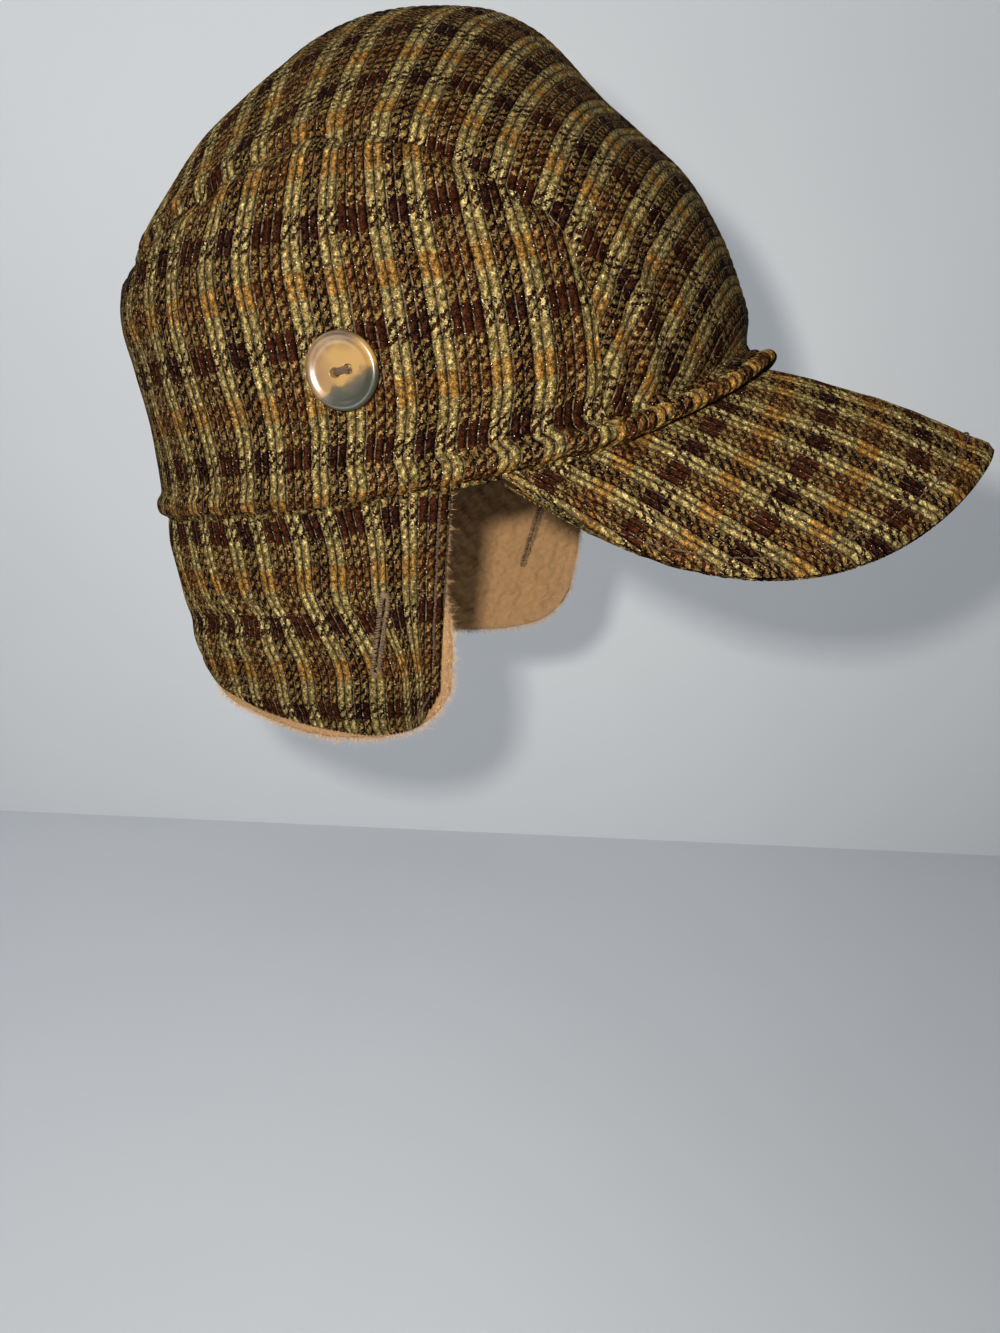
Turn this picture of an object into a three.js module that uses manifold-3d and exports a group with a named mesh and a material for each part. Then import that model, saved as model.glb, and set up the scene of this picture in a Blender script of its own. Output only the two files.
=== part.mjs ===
// A corduroy cap with a stiff front peak, a soft crown of two panels, and one wrap-around ear flap lined with fleece.
// Millimetres, +Z up, the wearer faces -Y. The origin is the centre of the head opening.
import * as THREE from "three";
import { mergeVertices } from "three/addons/utils/BufferGeometryUtils.js";
import Module from "manifold-3d";

const wasm = await Module();
wasm.setup();

// Driving dimensions
const rimHalfLength = 100; // front to back, outside
const rimHalfWidth = 80; // side to side, outside
const crownHeight = 137; // from the rim's plane to the apex
const crownWall = 2.2; // corduroy with its lining
const wearTilt = 15; // degrees that the front of the rim sits above the back when worn
const seamGap = 0.4; // between two pieces that are sewn together
const peakWidth = 148;
const peakLength = 95; // from the ends' crosswise line to the front edge
const peakCentre = 77; // how far that crosswise line lies ahead of the head's axis
const peakSpan = 61; // degrees of the rim, each side, that the peak is sewn to
const peakSweep = 105; // degrees of its oval, each side, that the peak's edge follows
const peakRise = 22.5; // height of the peak's surface under the crown's front
const peakSlope = 0.65; // fall per millimetre forwards
const peakArch = 71; // how far the peak's sides fall below its middle
const peakArchEase = 12.5; // and how much of that fall eases off at the very edge
const peakBulge = 2.7;
const peakCoverWall = 1.7; // each of the peak's two covers
const peakEdgeInset = 0.5; // how far the under cover's edge lies inside the upper one's
const underSpan = 0.98; // the under cover's span at its ends, as a share of the upper one's
const flapFrontTurn = 71.5; // degrees from the front at which the ear flap starts
const flapRake = 2; // degrees that its front edge falls back from top to bottom
const flapDepth = 76; // below the rim, at the ear
const flapLean = 10; // how far the flap leans in at leanDepth below the rim
const leanDepth = 60;
const leanPower = 1.4;
const flapShellWall = 1.6;
const fleeceWall = 3.6;
const fleeceShow = 2.6; // how far the fleece stands out past the flap's edge
const buttonDiameter = 20.5;
const buttonThickness = 3;
const buttonRimWidth = 2.4;
const buttonDish = 0.7; // how far the button's face dips inside its rim
const buttonHole = 2.2; // diameter of each of the two thread holes
const buttonHolePitch = 3.8;
const buttonTurn = 84; // degrees from the front
const buttonAlong = 0.26; // along, as in crownSections
const buttonholeLength = 26;
const buttonholeWidth = 1.2;
const buttonholeTurn = 84; // degrees from the front
const buttonholeDown = 41; // its middle, below the rim
const buttonholeSlant = 11; // degrees that its lower end leans to the back

// How finely the curved pieces are divided
const crownColumns = 60;
const seamSteps = 34; // each side
const peakColumns = 36;
const peakRows = 6;
const flapColumns = 60;
const flapShellRows = 7;
const fleeceRows = 5;
const buttonSides = 36;
const buttonHoleSides = 16;

// The crown's sections from the rim up to the apex. rise is a share of crownHeight; front and back are shares of
// rimHalfLength, measured from the head's axis; side is a share of rimHalfWidth; square is the oval's exponent.
const crownSections = [
  { along: 0.0, rise: 0.0, front: 1.085, back: 1.01, side: 0.98, square: 2.0 },
  { along: 0.04, rise: 0.02, front: 1.14, back: 1.035, side: 1.01, square: 2.0 },
  { along: 0.08, rise: 0.05, front: 1.135, back: 1.03, side: 1.01, square: 2.0 },
  { along: 0.11, rise: 0.075, front: 1.075, back: 1.0, side: 0.99, square: 2.0 },
  { along: 0.2, rise: 0.18, front: 1.085, back: 0.955, side: 1.02, square: 2.05 },
  { along: 0.32, rise: 0.36, front: 1.05, back: 0.94, side: 1.025, square: 2.1 },
  { along: 0.44, rise: 0.52, front: 0.985, back: 0.94, side: 0.98, square: 2.1 },
  { along: 0.54, rise: 0.66, front: 0.88, back: 0.77, side: 0.91, square: 2.1 },
  { along: 0.66, rise: 0.81, front: 0.71, back: 0.53, side: 0.7, square: 2.05 },
  { along: 0.78, rise: 0.915, front: 0.57, back: 0.26, side: 0.48, square: 2.0 },
  { along: 0.9, rise: 0.98, front: 0.38, back: 0.08, side: 0.26, square: 2.0 },
  { along: 1.0, rise: 1.0, front: 0.15, back: -0.15, side: 0.0, square: 2.0 },
];

// How far the rim lies above its own plane, as a share of crownHeight, by turn from the front in degrees.
const rimLifts = [
  { turn: -24, lift: 0.078 },
  { turn: 0, lift: 0.12 },
  { turn: 24, lift: 0.078 },
  { turn: 45, lift: 0.04 },
  { turn: 68, lift: 0.026 },
  { turn: 92, lift: 0.03 },
  { turn: 125, lift: 0.045 },
  { turn: 180, lift: 0.042 },
];

// The seam between the side band and the top panel on one side, from the rim up and round to the back: turn is degrees
// from the front, along as in crownSections.
const seamPoints = [
  { share: 0, turn: 45.5, along: -0.05 },
  { share: 0.06, turn: 45.5, along: 0.0 },
  { share: 0.13, turn: 45, along: 0.09 },
  { share: 0.2, turn: 44.5, along: 0.18 },
  { share: 0.27, turn: 43.5, along: 0.28 },
  { share: 0.33, turn: 44, along: 0.36 },
  { share: 0.38, turn: 47, along: 0.425 },
  { share: 0.43, turn: 53, along: 0.47 },
  { share: 0.5, turn: 63, along: 0.525 },
  { share: 0.58, turn: 76, along: 0.565 },
  { share: 0.66, turn: 89, along: 0.575 },
  { share: 0.75, turn: 105, along: 0.55 },
  { share: 0.84, turn: 124, along: 0.52 },
  { share: 0.92, turn: 150, along: 0.5 },
  { share: 1, turn: 180, along: 0.495 },
];

// The levels at which the crown's mesh has a row of vertices: closer together over the rolled hem.
const crownLevels = [0, 0.03, 0.065, 0.09, 0.11, 0.15, 0.2, 0.28, 0.36, 0.44, 0.51, 0.58, 0.66, 0.76, 0.87, 1];

// The ear flap's depth, as a share of flapDepth, by turn from the front in degrees.
const flapDepths = [
  { turn: 64, depth: 0.55 },
  { turn: 70, depth: 0.77 },
  { turn: 74, depth: 0.92 },
  { turn: 81, depth: 1.0 },
  { turn: 98, depth: 1.0 },
  { turn: 120, depth: 0.9 },
  { turn: 145, depth: 0.75 },
  { turn: 180, depth: 0.68 },
];

const radians = THREE.MathUtils.degToRad;
const clamp = THREE.MathUtils.clamp;

// A smooth curve through a table's rows: the value in column at x, where x is read from the column named by.
function smooth(table, by, column, x) {
  const last = table.length - 1;
  let i = table.findIndex((row) => row[by] > x) - 1;
  if (i < 0) i = x < table[0][by] ? 0 : last - 1;
  const slope = (k) => {
    const a = table[Math.max(k - 1, 0)];
    const b = table[Math.min(k + 1, last)];
    return (b[column] - a[column]) / (b[by] - a[by]);
  };
  const p = table[i];
  const q = table[i + 1];
  const span = q[by] - p[by];
  const t = clamp((x - p[by]) / span, 0, 1);
  const h00 = (1 + 2 * t) * (1 - t) ** 2;
  const h10 = t * (1 - t) ** 2;
  const h01 = t * t * (3 - 2 * t);
  const h11 = t * t * (t - 1);
  return h00 * p[column] + h10 * span * slope(i) + h01 * q[column] + h11 * span * slope(i + 1);
}

// Degrees from the front, 0 to 180, whichever side a turn is on.
const fromFront = (turn) => Math.abs(turn > 180 ? turn - 360 : turn);

// A point of the crown's outer face. turn is degrees from the front, positive towards the wearer's right (-X).
function crownPoint(turn, along) {
  const row = (column) => smooth(crownSections, "along", column, along);
  const angle = radians(turn);
  const power = 2 / row("square");
  const c = Math.sign(Math.cos(angle)) * Math.abs(Math.cos(angle)) ** power;
  const s = Math.sign(Math.sin(angle)) * Math.abs(Math.sin(angle)) ** power;
  const front = -row("front") * rimHalfLength;
  const back = row("back") * rimHalfLength;
  const middle = (front + back) / 2;
  const y = middle - ((back - front) / 2) * c;
  const x = -row("side") * rimHalfWidth * s;
  const lift = smooth(rimLifts, "turn", "lift", fromFront(turn));
  const fade = (1 - along) ** 3;
  return new THREE.Vector3(x, y, (row("rise") + lift * fade) * crownHeight);
}

// The unit normal of a surface at (u, v), outward for surfaces whose u turns towards -X and whose v rises.
function normalOf(surface, u, v) {
  const step = 1e-3;
  const [u0, u1] = [Math.max(u - step, 0), Math.min(u + step, 1)];
  const [v0, v1] = [Math.max(v - step, 0), Math.min(v + step, 1)];
  const du = surface(u1, v).sub(surface(u0, v));
  const dv = surface(u, v1).sub(surface(u, v0));
  return dv.cross(du).normalize();
}

// A shell as a closed mesh: a grid over surface(u, v), thickened inwards by wall. levels lists v row by row; ring closes
// the grid in u; pole closes it at v = 1; offset starts the shell that far inside the surface.
function shell(surface, wall, columns, levels, { ring = false, pole = false, offset = 0 } = {}) {
  const positions = [];
  const index = [];
  const across = ring ? columns : columns + 1;
  const rows = pole ? levels.length - 1 : levels.length;
  const at = (i, j, side) => (side * rows + j) * across + (ring ? i % columns : i);
  for (const depth of [offset, offset + wall])
    for (const v of levels.slice(0, rows))
      for (let i = 0; i < across; i++) {
        const p = surface(i / columns, v).addScaledVector(normalOf(surface, i / columns, v), -depth);
        positions.push(p.x, p.y, p.z);
      }
  const quad = (a, b, c, d) => index.push(a, b, c, a, c, d);
  const top = rows - 1;
  for (let i = 0; i < columns; i++) {
    for (let j = 0; j < top; j++) {
      quad(at(i, j, 0), at(i, j + 1, 0), at(i + 1, j + 1, 0), at(i + 1, j, 0));
      quad(at(i, j, 1), at(i + 1, j, 1), at(i + 1, j + 1, 1), at(i, j + 1, 1));
    }
    quad(at(i, 0, 0), at(i + 1, 0, 0), at(i + 1, 0, 1), at(i, 0, 1));
    if (!pole) quad(at(i, top, 1), at(i + 1, top, 1), at(i + 1, top, 0), at(i, top, 0));
  }
  for (let j = 0; j < top && !ring; j++) {
    quad(at(0, j, 0), at(0, j, 1), at(0, j + 1, 1), at(0, j + 1, 0));
    quad(at(columns, j, 1), at(columns, j, 0), at(columns, j + 1, 0), at(columns, j + 1, 1));
  }
  for (const side of pole ? [0, 1] : []) {
    const apex = positions.length / 3;
    const tip = surface(0, 1);
    positions.push(tip.x, tip.y, tip.z - offset - side * wall);
    for (let i = 0; i < columns; i++) {
      const [a, b] = [at(i, top, side), at(i + 1, top, side)];
      index.push(...(side ? [a, b, apex] : [b, a, apex]));
    }
  }
  const geometry = new THREE.BufferGeometry();
  geometry.setAttribute("position", new THREE.Float32BufferAttribute(positions, 3));
  geometry.setIndex(index);
  return geometry;
}

const evenly = (count) => Array.from({ length: count + 1 }, (_, i) => i / count);

function solidOf(geometry) {
  const bare = new THREE.BufferGeometry();
  bare.setAttribute("position", geometry.getAttribute("position"));
  bare.setIndex(geometry.index);
  const merged = mergeVertices(bare, 1e-4);
  const vertProperties = new Float32Array(merged.getAttribute("position").array);
  const triVerts = new Uint32Array(merged.index.array);
  return new wasm.Manifold(new wasm.Mesh({ numProp: 3, vertProperties, triVerts }));
}

function geometryOf(solid) {
  const mesh = solid.getMesh();
  const geometry = new THREE.BufferGeometry();
  geometry.setAttribute("position", new THREE.Float32BufferAttribute(mesh.vertProperties, 3));
  geometry.setIndex(Array.from(mesh.triVerts));
  return geometry;
}

const corduroy = new THREE.MeshStandardMaterial({ color: 0x6e5a36, roughness: 0.95, metalness: 0 });
const fleece = new THREE.MeshStandardMaterial({ color: 0xb08a54, roughness: 1, metalness: 0 });
const horn = new THREE.MeshStandardMaterial({ color: 0x8a7350, roughness: 0.25, metalness: 0 });

const hat = new THREE.Group();
const tilt = new THREE.Matrix4().makeRotationX(-radians(wearTilt));
const wornCrown = (turn, along) => crownPoint(turn, along).applyMatrix4(tilt);

function add(name, geometry, material) {
  geometry.computeVertexNormals();
  const mesh = new THREE.Mesh(geometry, material);
  mesh.name = name;
  hat.add(mesh);
}

// The whole crown as one shell, which the seam then parts into the side band and the top panel
const crownSurface = (u, v) => wornCrown(360 * u, v);
const crown = solidOf(shell(crownSurface, crownWall, crownColumns, crownLevels, { ring: true, pole: true }));

// A thin curtain that follows the seam from the rim on one side, round the back, to the rim on the other
const seamReach = 5; // how far the curtain stands out from the crown's outer face, in and out
const seamLookAhead = 0.2; // how far along, in steps, the curtain's direction is read
const seamCentre = new THREE.Vector3(0, 0, crownHeight / 4); // the curtain's rulings all point at it
const seamPlace = (share) => {
  const part = 1 - Math.abs(share);
  const turn = smooth(seamPoints, "share", "turn", part);
  const along = smooth(seamPoints, "share", "along", part);
  const at = wornCrown(share < 0 ? turn : 360 - turn, Math.max(along, 0));
  return at.addScaledVector(new THREE.Vector3(0, 0, 1), Math.min(along, 0) * crownHeight);
};
function seamCurtain() {
  const positions = [];
  const index = [];
  const count = 2 * seamSteps;
  const step = seamLookAhead / seamSteps;
  for (let i = 0; i <= count; i++) {
    const share = i / seamSteps - 1;
    const at = seamPlace(share);
    const way = seamPlace(Math.min(share + step, 1)).sub(seamPlace(Math.max(share - step, -1))).normalize();
    const out = at.clone().sub(seamCentre).normalize();
    const side = way.clone().cross(out).normalize();
    for (const [reach, half] of [[1, 1], [1, -1], [-1, -1], [-1, 1]]) {
      const p = at.clone().addScaledVector(out, reach * seamReach).addScaledVector(side, (half * seamGap) / 2);
      positions.push(p.x, p.y, p.z);
    }
    if (i === count) break;
    for (let k = 0; k < 4; k++) {
      const [a, b] = [4 * i + k, 4 * i + ((k + 1) % 4)];
      index.push(a, a + 4, b + 4, a, b + 4, b);
    }
  }
  const end = 4 * count;
  index.push(0, 1, 2, 0, 2, 3, end, end + 2, end + 1, end, end + 3, end + 2);
  const geometry = new THREE.BufferGeometry();
  geometry.setAttribute("position", new THREE.Float32BufferAttribute(positions, 3));
  geometry.setIndex(index);
  return geometry;
}
const parts = crown.subtract(solidOf(seamCurtain())).decompose();
const byHeight = parts.sort((a, b) => a.boundingBox().max[2] - b.boundingBox().max[2]);
add("crown_side_band", geometryOf(byHeight[0]), corduroy);
add("crown_top_panel", geometryOf(byHeight[byHeight.length - 1]), corduroy);

// Peak: share runs across it from -1 at the wearer's left to 1 at the right, v from the edge to the crown
function peakPoint(share, v, inset) {
  const root = crownPoint(share * peakSpan, 0);
  const inwards = new THREE.Vector3(-root.x, -root.y, 0).normalize();
  root.addScaledVector(inwards, crownWall / 2);
  root.z -= seamGap;
  const angle = radians(share * peakSweep);
  const x = -(peakWidth / 2 - inset) * Math.sin(angle);
  const y = -peakCentre - (peakLength - inset) * Math.cos(angle);
  const ahead = -y - rimHalfLength * crownSections[0].front;
  const outness = (2 * x / peakWidth) ** 2;
  const z = peakRise - peakSlope * ahead - peakArch * outness + peakArchEase * outness * outness;
  const edge = new THREE.Vector3(x, y, z);
  const bulge = 4 * peakBulge * v * (1 - v) * Math.cos((share * Math.PI) / 2);
  const p = edge.lerp(root, v);
  p.z += bulge;
  return p.applyMatrix4(tilt);
}
const peakLevels = evenly(peakRows);
const upper = (u, v) => peakPoint(2 * u - 1, v, 0);
const under = (u, v) => peakPoint(underSpan * (2 * u - 1), v, peakEdgeInset);
const underOffset = peakCoverWall + seamGap;
add("peak_upper_cover", shell(upper, peakCoverWall, peakColumns, peakLevels), corduroy);
add("peak_under_cover", shell(under, peakCoverWall, peakColumns, peakLevels, { offset: underOffset }), corduroy);

// Ear flap: one piece from one temple round the back to the other, hanging from under the crown's hem
function flapPoint(turn, down) {
  const p = wornCrown(turn, 0);
  const angle = radians(turn);
  const out = new THREE.Vector3(-Math.sin(angle) / rimHalfWidth, -Math.cos(angle) / rimHalfLength, 0).normalize();
  p.addScaledVector(out, -flapLean * (down / leanDepth) ** leanPower);
  p.z -= down;
  return p;
}
function flapSurface(show) {
  return (u, v) => {
    const start = flapFrontTurn + flapRake * (1 - v) - THREE.MathUtils.radToDeg(show / rimHalfWidth);
    const turn = start + (360 - 2 * start) * u;
    const inner = flapFrontTurn + ((fromFront(turn) - start) * (180 - flapFrontTurn)) / (180 - start);
    const depth = smooth(flapDepths, "turn", "depth", inner) * flapDepth + show;
    return flapPoint(turn, seamGap + (depth - seamGap) * (1 - v));
  };
}
const flapShell = solidOf(shell(flapSurface(0), flapShellWall, flapColumns, evenly(flapShellRows)));
const fleeceOffset = flapShellWall + seamGap;
const fleeceLevels = evenly(fleeceRows);
const fleeceShell = shell(flapSurface(fleeceShow), fleeceWall, flapColumns, fleeceLevels, { offset: fleeceOffset });
const flapFleece = solidOf(fleeceShell);

// A frame on a surface point: out of the surface is +Z, its lower side is -Y
function frameAt(place, out, down) {
  const z = out.clone().normalize();
  const y = down.clone().negate().addScaledVector(z, down.dot(z)).normalize();
  const x = y.clone().cross(z);
  return new THREE.Matrix4().makeBasis(x, y, z).setPosition(place);
}
const cutDepth = 30; // longer than any wall it cuts
function slotAt(side) {
  const turn = side * buttonholeTurn;
  const place = flapPoint(turn, buttonholeDown);
  const below = flapPoint(turn, buttonholeDown + 1);
  const beside = flapPoint(turn + side, buttonholeDown);
  const down = below.sub(place);
  const out = beside.sub(place).cross(down).multiplyScalar(side);
  const slot = new THREE.BoxGeometry(buttonholeWidth, buttonholeLength, cutDepth);
  slot.rotateZ(-side * radians(buttonholeSlant));
  return solidOf(slot.applyMatrix4(frameAt(place, out, down)));
}
const slots = slotAt(1).add(slotAt(-1));
add("ear_flap_shell", geometryOf(flapShell.subtract(slots)), corduroy);
add("ear_flap_fleece", geometryOf(flapFleece.subtract(slots)), fleece);

// Buttons: a turned disc with a raised rim and two thread holes, one above each ear
const buttonRadius = buttonDiameter / 2;
const buttonProfile = [
  { radius: 0, height: 0 },
  { radius: 0.8, height: 0 },
  { radius: 1, height: 0.4 },
  { radius: 1, height: 0.75 },
  { radius: 0.94, height: 1 },
];
function buttonSolid() {
  const points = buttonProfile.map((p) => new THREE.Vector2(p.radius * buttonRadius, p.height * buttonThickness));
  points.push(new THREE.Vector2(buttonRadius - buttonRimWidth, buttonThickness - buttonDish));
  points.push(new THREE.Vector2(0, buttonThickness - buttonDish));
  const disc = solidOf(new THREE.LatheGeometry(points, buttonSides).rotateX(Math.PI / 2));
  const hole = (x) => {
    const drill = new THREE.CylinderGeometry(buttonHole / 2, buttonHole / 2, cutDepth, buttonHoleSides);
    return solidOf(drill.rotateX(Math.PI / 2).translate(x, 0, 0));
  };
  return disc.subtract(hole(buttonHolePitch / 2)).subtract(hole(-buttonHolePitch / 2));
}
const alongStep = 0.01; // over which the crown's upward direction is read
for (const [name, side] of [["button_right", 1], ["button_left", -1]]) {
  const turn = side * buttonTurn;
  const place = wornCrown(turn, buttonAlong);
  const above = wornCrown(turn, buttonAlong + alongStep);
  const beside = wornCrown(turn + side, buttonAlong);
  const up = above.sub(place);
  const out = up.clone().cross(beside.sub(place)).multiplyScalar(side);
  place.addScaledVector(out.clone().normalize(), seamGap);
  add(name, geometryOf(buttonSolid()).applyMatrix4(frameAt(place, out, up.negate())), horn);
}

export default hat;
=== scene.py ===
import math
import bpy
import numpy as np
from mathutils import Matrix, Vector


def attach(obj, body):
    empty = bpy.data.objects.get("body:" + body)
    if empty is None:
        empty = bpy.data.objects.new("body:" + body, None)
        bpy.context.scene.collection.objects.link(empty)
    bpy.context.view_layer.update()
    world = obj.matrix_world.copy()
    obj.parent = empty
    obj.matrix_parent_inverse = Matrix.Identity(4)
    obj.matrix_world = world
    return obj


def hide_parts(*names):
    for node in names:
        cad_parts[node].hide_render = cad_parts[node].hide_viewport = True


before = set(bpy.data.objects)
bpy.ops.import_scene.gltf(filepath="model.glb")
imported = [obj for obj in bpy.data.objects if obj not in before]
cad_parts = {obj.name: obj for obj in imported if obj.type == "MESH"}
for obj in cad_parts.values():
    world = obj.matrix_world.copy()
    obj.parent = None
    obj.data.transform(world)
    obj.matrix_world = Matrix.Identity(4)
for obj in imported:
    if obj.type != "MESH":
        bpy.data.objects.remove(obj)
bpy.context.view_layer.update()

# A corduroy ear-flap cap, dressed over its CAD frame. Lengths are millimetres until a mesh is made; +Z is up
# and the wearer faces -Y. u runs across the cloth's ribs and counts them, v runs along them in millimetres.
MM = 0.001

# Sizes shared with the CAD part
rim_half_length = 100.0
rim_half_width = 80.0
crown_height = 137.0
crown_wall = 2.2
wear_tilt = math.radians(15)
seam_gap = 0.4
peak_width = 148.0
peak_length = 95.0
peak_centre = 77.0
peak_span = 61.0
peak_sweep = math.radians(105)
peak_rise = 22.5
peak_slope = 0.65
peak_arch = 71.0
peak_arch_ease = 12.5
peak_bulge = 2.7
peak_cover_wall = 1.7
flap_front_turn = 71.5
flap_rake = 2.0
flap_depth = 76.0
flap_lean = 10.0
lean_depth = 60.0
lean_power = 1.4
flap_shell_wall = 1.6
fleece_wall = 3.6
fleece_show = 2.6
button_diameter = 20.5
button_thickness = 3.0
button_dish = 0.7
button_hole = 2.2
button_hole_pitch = 3.8
button_turn = 84.0
button_along = 0.26
buttonhole_length = 26.0
buttonhole_width = 1.2
buttonhole_turn = 84.0
buttonhole_down = 41.0
buttonhole_slant = math.radians(11)

# Sizes of the cloth and its sewing
rib_pitch = 2.88  # on the crown; the flap's and the peak's cloth is pulled less wide
flap_rib_pitch = 2.86
peak_rib_pitch = 2.35
rib_depth = 0.7
rib_steps = 6  # mesh columns to each rib
check_ribs = 9  # the plaid's repeat across the ribs
check_length = 29.4  # and along them
twill_pitch = 3.3  # the slanting dashes' repeat along a rib
band_lean = 15.0  # degrees of turn by which the band's ribs lean forwards over the crown's whole height
lean_from, lean_span = 155.0, 65.0  # ahead of this turn the lean comes in, over this many degrees
fan_back, fan_depth = -25.0, -190.0  # Y and Z of the crosswise line from which the top panel's ribs fan out
top_skew = 0.28  # the top panel is cut off the straight grain
top_stretch = 1.3
top_pitch = rib_pitch * 1.02  # in the middle plane; the fan closes towards the sides
peak_twist = math.radians(6)  # the peak's ribs run forwards and a little towards the wearer's right
peak_skew = 0.3  # how far its cloth is pulled askew, so that the checks slant
peak_bend, peak_bend_from = 0.045, 18.0  # and bend away beyond this many ribs from the middle
peak_stretch = 1.087
flap_stretch = 0.95
flap_stitch_inset = 2.4
peak_stitch_inset = 8.0
purl_pitch = 0.9
hem_radius = 1.75
pile_hairs = 34000

# Where the plaid starts on each piece: ribs across, millimetres along
band_phase = (-2.4, -13.4)
top_phase = (0.4, 2.8)
peak_phase = (-4.6, 6.7)
flap_phase = (1.5, 8.3)

# The soft crown falls in above the brow, where it hangs straight from its highest place to the front
slouch_fall = 6.5
slouch_middle = np.array([0.0, -66.0, 128.0])
slouch_reach = np.array([62.0, 36.0, 34.0])

# How much of its slack the crown has at the rim, and the share of its course over which the rest comes in
rim_slack, rim_calm = 0.25, 0.3

# Folds beside the crown's seam: height, distance from it, width. The creases stand beside its front part
seam_folds = [(-1.5, 0, 2.6), (0.5, 6, 3)]
seam_creases = [(-1.4, 8.5, 2.4), (1.0, 14, 3.2), (-0.7, 20, 3)]
crease_end, crease_fade = 78.0, 25.0  # along the seam from the rim
pucker_height, pucker_reach, pucker_pitch = 0.7, 8.0, 3.1

# How the flap's ribs wander sideways: height in degrees of turn, pitch, and drift in degrees per millimetre
sway_height, sway_pitch, sway_drift = 1.25, 7.5, 0.13

# Low folds of the flap: height, how far down, how that grows per degree of turn, width, middle turn, reach
flap_folds = [(-2.0, 34, 0.06, 4.5, 128, 24), (1.2, 42, 0, 5, 126, 22), (0.7, 62, 0, 4, 105, 25)]

# The crown's sections from the rim to the apex, as shares of its height, half length and half width
crown_sections = np.array([
    # along, rise, front, back, side, square
    [0.0, 0.0, 1.085, 1.01, 0.98, 2.0],
    [0.04, 0.02, 1.14, 1.035, 1.01, 2.0],
    [0.08, 0.05, 1.135, 1.03, 1.01, 2.0],
    [0.11, 0.075, 1.075, 1.0, 0.99, 2.0],
    [0.2, 0.18, 1.085, 0.955, 1.02, 2.05],
    [0.32, 0.36, 1.05, 0.94, 1.025, 2.1],
    [0.44, 0.52, 0.985, 0.94, 0.98, 2.1],
    [0.54, 0.66, 0.88, 0.77, 0.91, 2.1],
    [0.66, 0.81, 0.71, 0.53, 0.7, 2.05],
    [0.78, 0.915, 0.57, 0.26, 0.48, 2.0],
    [0.9, 0.98, 0.38, 0.08, 0.26, 2.0],
    [1.0, 1.0, 0.15, -0.15, 0.0, 2.0],
])
section = {name: i for i, name in enumerate(["along", "rise", "front", "back", "side", "square"])}

# The rim's lift by turn from the front in degrees, as a share of the crown's height
rim_lifts = np.array([[-24, 0.078], [0, 0.12], [24, 0.078], [45, 0.04], [68, 0.026], [92, 0.03], [125, 0.045],
                      [180, 0.042]])

# The seam between band and top panel: share of its course, turn, along
seam_start, seam_corner = 0.06, 0.33  # where it leaves the rim, and where it turns back
seam_foot = 45.5  # its turn at the rim
seam_points = np.array([
    [0.0, seam_foot, -0.05], [seam_start, seam_foot, 0.0], [0.13, 45.0, 0.09], [0.2, 44.5, 0.18],
    [0.27, 43.5, 0.28], [seam_corner, 44.0, 0.36], [0.38, 47.0, 0.425], [0.43, 53.0, 0.47],
    [0.5, 63.0, 0.525], [0.58, 76.0, 0.565], [0.66, 89.0, 0.575], [0.75, 105.0, 0.55], [0.84, 124.0, 0.52],
    [0.92, 150.0, 0.5], [1.0, 180.0, 0.495],
])

# The flap's depth by turn, as a share of flap_depth
flap_depths = np.array([[64, 0.55], [70, 0.77], [74, 0.92], [81, 1.0], [98, 1.0], [120, 0.9], [145, 0.75],
                        [180, 0.68]])


# Curves and surfaces

def smooth(xs, ys, x):
    """A smooth curve through the points (xs, ys), read at x."""
    xs, ys = np.asarray(xs, float), np.asarray(ys, float)
    before, after = np.r_[0, np.arange(len(xs) - 1)], np.r_[np.arange(1, len(xs)), len(xs) - 1]
    slope = (ys[after] - ys[before]) / (xs[after] - xs[before])
    x = np.asarray(x, float)
    i = np.clip(np.searchsorted(xs, x, side="right") - 1, 0, len(xs) - 2)
    span = xs[i + 1] - xs[i]
    t = np.clip((x - xs[i]) / span, 0, 1)
    start = (1 + 2 * t) * (1 - t) ** 2 * ys[i] + t * (1 - t) ** 2 * span * slope[i]
    return start + t * t * (3 - 2 * t) * ys[i + 1] + t * t * (t - 1) * span * slope[i + 1]


def unit(vectors):
    return vectors / np.maximum(np.linalg.norm(vectors, axis=-1, keepdims=True), 1e-9)


def from_front(turn):
    return np.abs(np.where(turn > 180, turn - 360, turn))


def tilted(points):
    c, s = math.cos(wear_tilt), math.sin(wear_tilt)
    x, y, z = points[..., 0], points[..., 1], points[..., 2]
    return np.stack([x, c * y + s * z, c * z - s * y], -1)


def crown_point(turn, along):
    """The crown's outer face before the wearing tilt; turn in degrees from the front, towards -X."""
    turn, along = np.broadcast_arrays(np.asarray(turn, float), np.asarray(along, float))
    column = {name: smooth(crown_sections[:, 0], crown_sections[:, i], along) for name, i in section.items()}
    angle, power = np.radians(turn), 2 / column["square"]
    c = np.sign(np.cos(angle)) * np.abs(np.cos(angle)) ** power
    s = np.sign(np.sin(angle)) * np.abs(np.sin(angle)) ** power
    front, back = -column["front"] * rim_half_length, column["back"] * rim_half_length
    y = (front + back) / 2 - (back - front) / 2 * c
    x = -column["side"] * rim_half_width * s
    lift = smooth(rim_lifts[:, 0], rim_lifts[:, 1], from_front(turn)) * (1 - along) ** 3
    return np.stack([x, y, (column["rise"] + lift) * crown_height], -1)


def worn_crown(turn, along):
    return tilted(crown_point(turn, along))


def crown_normal(turn, along):
    low, high = np.clip(along - 0.004, 0, 0.995), np.clip(along + 0.004, 0.005, 1)
    rise = worn_crown(turn, high) - worn_crown(turn, low)
    round_ = worn_crown(turn + 0.5, along) - worn_crown(turn - 0.5, along)
    return unit(np.cross(rise, round_))


def grid_normal(points):
    return unit(np.cross(np.gradient(points, axis=0), np.gradient(points, axis=1)))


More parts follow.
